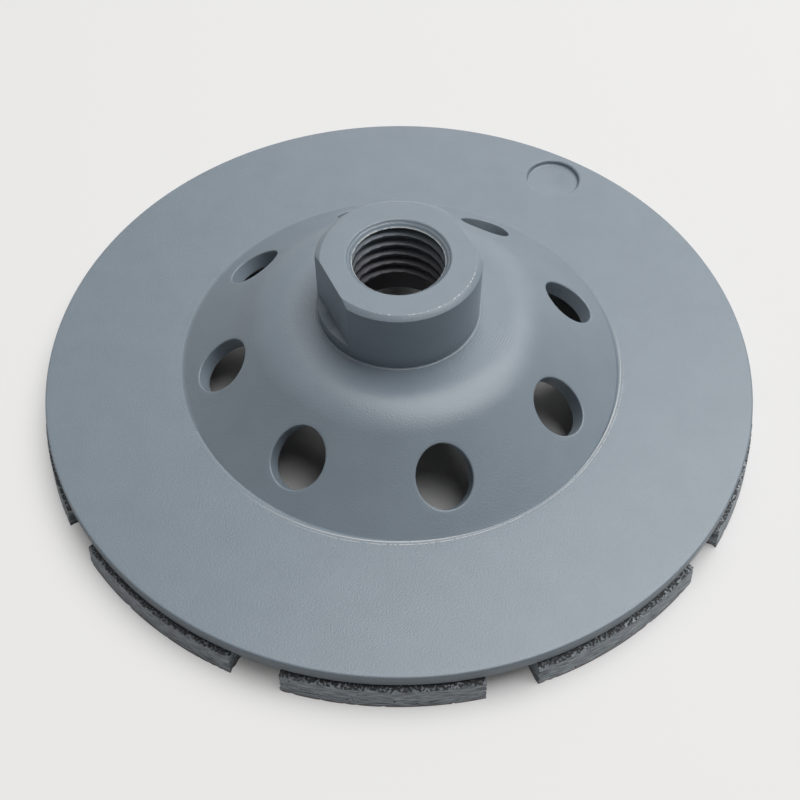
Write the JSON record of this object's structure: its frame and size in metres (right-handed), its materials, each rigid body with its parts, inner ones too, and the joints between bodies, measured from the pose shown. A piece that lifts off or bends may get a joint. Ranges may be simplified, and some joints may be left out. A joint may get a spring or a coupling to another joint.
{
  "type": "diamond cup wheel",
  "caption": "Diamond cup wheel for an angle grinder: a pressed steel cup with a vented dome, a threaded hub with wrench flats, and diamond segments under its rim.",
  "frame": {"origin": "on the wheel's axis, in the plane of the segments' working faces", "axes": "+Z along the wheel's axis from the working faces to the hub's mouth; +X and +Y in the working plane, with the first segment centred 2.5 degrees clockwise of -Y as seen from +Z"},
  "size_m": [0.115, 0.115, 0.0287],
  "materials": {
    "wheel_paint": "satin blue-grey paint with a fine orange peel over pressed and turned steel",
    "segment_bond": "rough sintered metal bond with diamond grit, dark grey"
  },
  "bodies": {
    "root": {"pressed_cup": "wheel_paint", "threaded_hub": "wheel_paint", "diamond_segment_01": "segment_bond", "diamond_segment_02": "segment_bond", "diamond_segment_03": "segment_bond", "diamond_segment_04": "segment_bond", "diamond_segment_05": "segment_bond", "diamond_segment_06": "segment_bond", "diamond_segment_07": "segment_bond", "diamond_segment_08": "segment_bond", "diamond_segment_09": "segment_bond", "diamond_segment_10": "segment_bond"}
  },
  "joints": []
}
